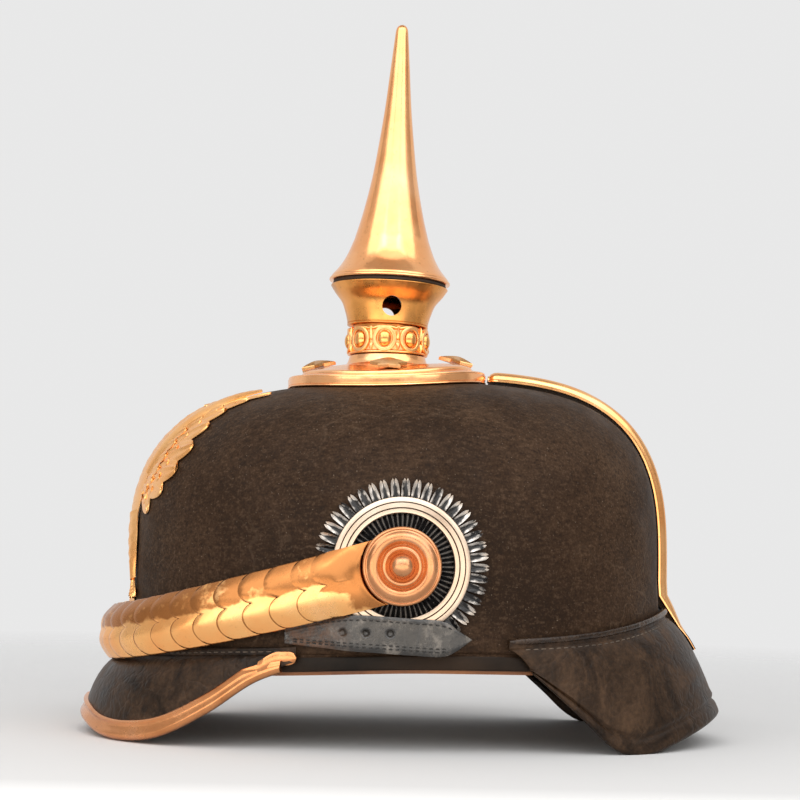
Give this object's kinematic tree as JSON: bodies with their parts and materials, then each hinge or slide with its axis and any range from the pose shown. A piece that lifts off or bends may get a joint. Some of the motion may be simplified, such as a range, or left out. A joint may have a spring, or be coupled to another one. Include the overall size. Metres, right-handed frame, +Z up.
{
  "type": "spiked dress helmet",
  "caption": "Domed leather dress helmet with a tall gilt spike on a pearled neck, spread-eagle front plate, rosettes, scaled chin chain, bound front visor and rear visor under a gilt spine.",
  "frame": {"origin": "bottom centre of the bounding box, on the surface the helmet stands on", "axes": "+Z up towards the tip of the spike, -Y towards the front visor, +X towards the wearer's left side"},
  "size_m": [0.1972, 0.2568, 0.2924],
  "materials": {
    "skull_leather": "worn matt black-brown leather",
    "tan_leather": "bare tan sweatband leather",
    "patent_leather": "crazed glossy patent leather",
    "strap_leather": "glossy black strap leather, worn brown at the torn end",
    "gilt_brass": "polished warm fire-gilt brass",
    "silver": "bright silver plate with engraved lines",
    "black_metal": "black lacquered sheet metal with bright worn edges"
  },
  "bodies": {
    "root": {"skull": "skull_leather", "sweatband": "tan_leather", "front_visor": "patent_leather", "front_visor_trim": "gilt_brass", "rear_visor": "patent_leather", "rear_spine": "gilt_brass", "base_plate": "gilt_brass", "star_stud_left": "gilt_brass", "star_stud_rear": "gilt_brass", "star_stud_right": "gilt_brass", "star_stud_front": "gilt_brass", "spike_neck": "gilt_brass", "spike": "gilt_brass", "pearl_ring": "gilt_brass", "front_plate": "gilt_brass", "cockade_left": "black_metal", "cockade_right": "black_metal", "cockade_ring_left": "silver", "cockade_ring_right": "silver", "chin_boss_left": "gilt_brass", "chin_boss_right": "gilt_brass", "chin_terminal_left": "gilt_brass", "chin_terminal_right": "gilt_brass", "chin_scale_left_01": "gilt_brass", "chin_scale_left_02": "gilt_brass", "chin_scale_left_03": "gilt_brass", "chin_scale_left_04": "gilt_brass", "chin_scale_left_05": "gilt_brass", "chin_scale_left_06": "gilt_brass", "chin_scale_left_07": "gilt_brass", "chin_scale_left_08": "gilt_brass", "chin_scale_left_09": "gilt_brass", "chin_scale_left_10": "gilt_brass", "chin_scale_left_11": "gilt_brass", "chin_scale_left_12": "gilt_brass", "chin_scale_left_13": "gilt_brass", "chin_scale_right_01": "gilt_brass", "chin_scale_right_02": "gilt_brass", "chin_scale_right_03": "gilt_brass", "chin_scale_right_04": "gilt_brass", "chin_scale_right_05": "gilt_brass", "chin_scale_right_06": "gilt_brass", "chin_scale_right_07": "gilt_brass", "chin_scale_right_08": "gilt_brass", "chin_scale_right_09": "gilt_brass", "chin_scale_right_10": "gilt_brass", "chin_scale_right_11": "gilt_brass", "chin_scale_right_12": "gilt_brass", "chin_scale_right_13": "gilt_brass", "chin_strap": "strap_leather", "strap_tail": "strap_leather"}
  },
  "joints": []
}
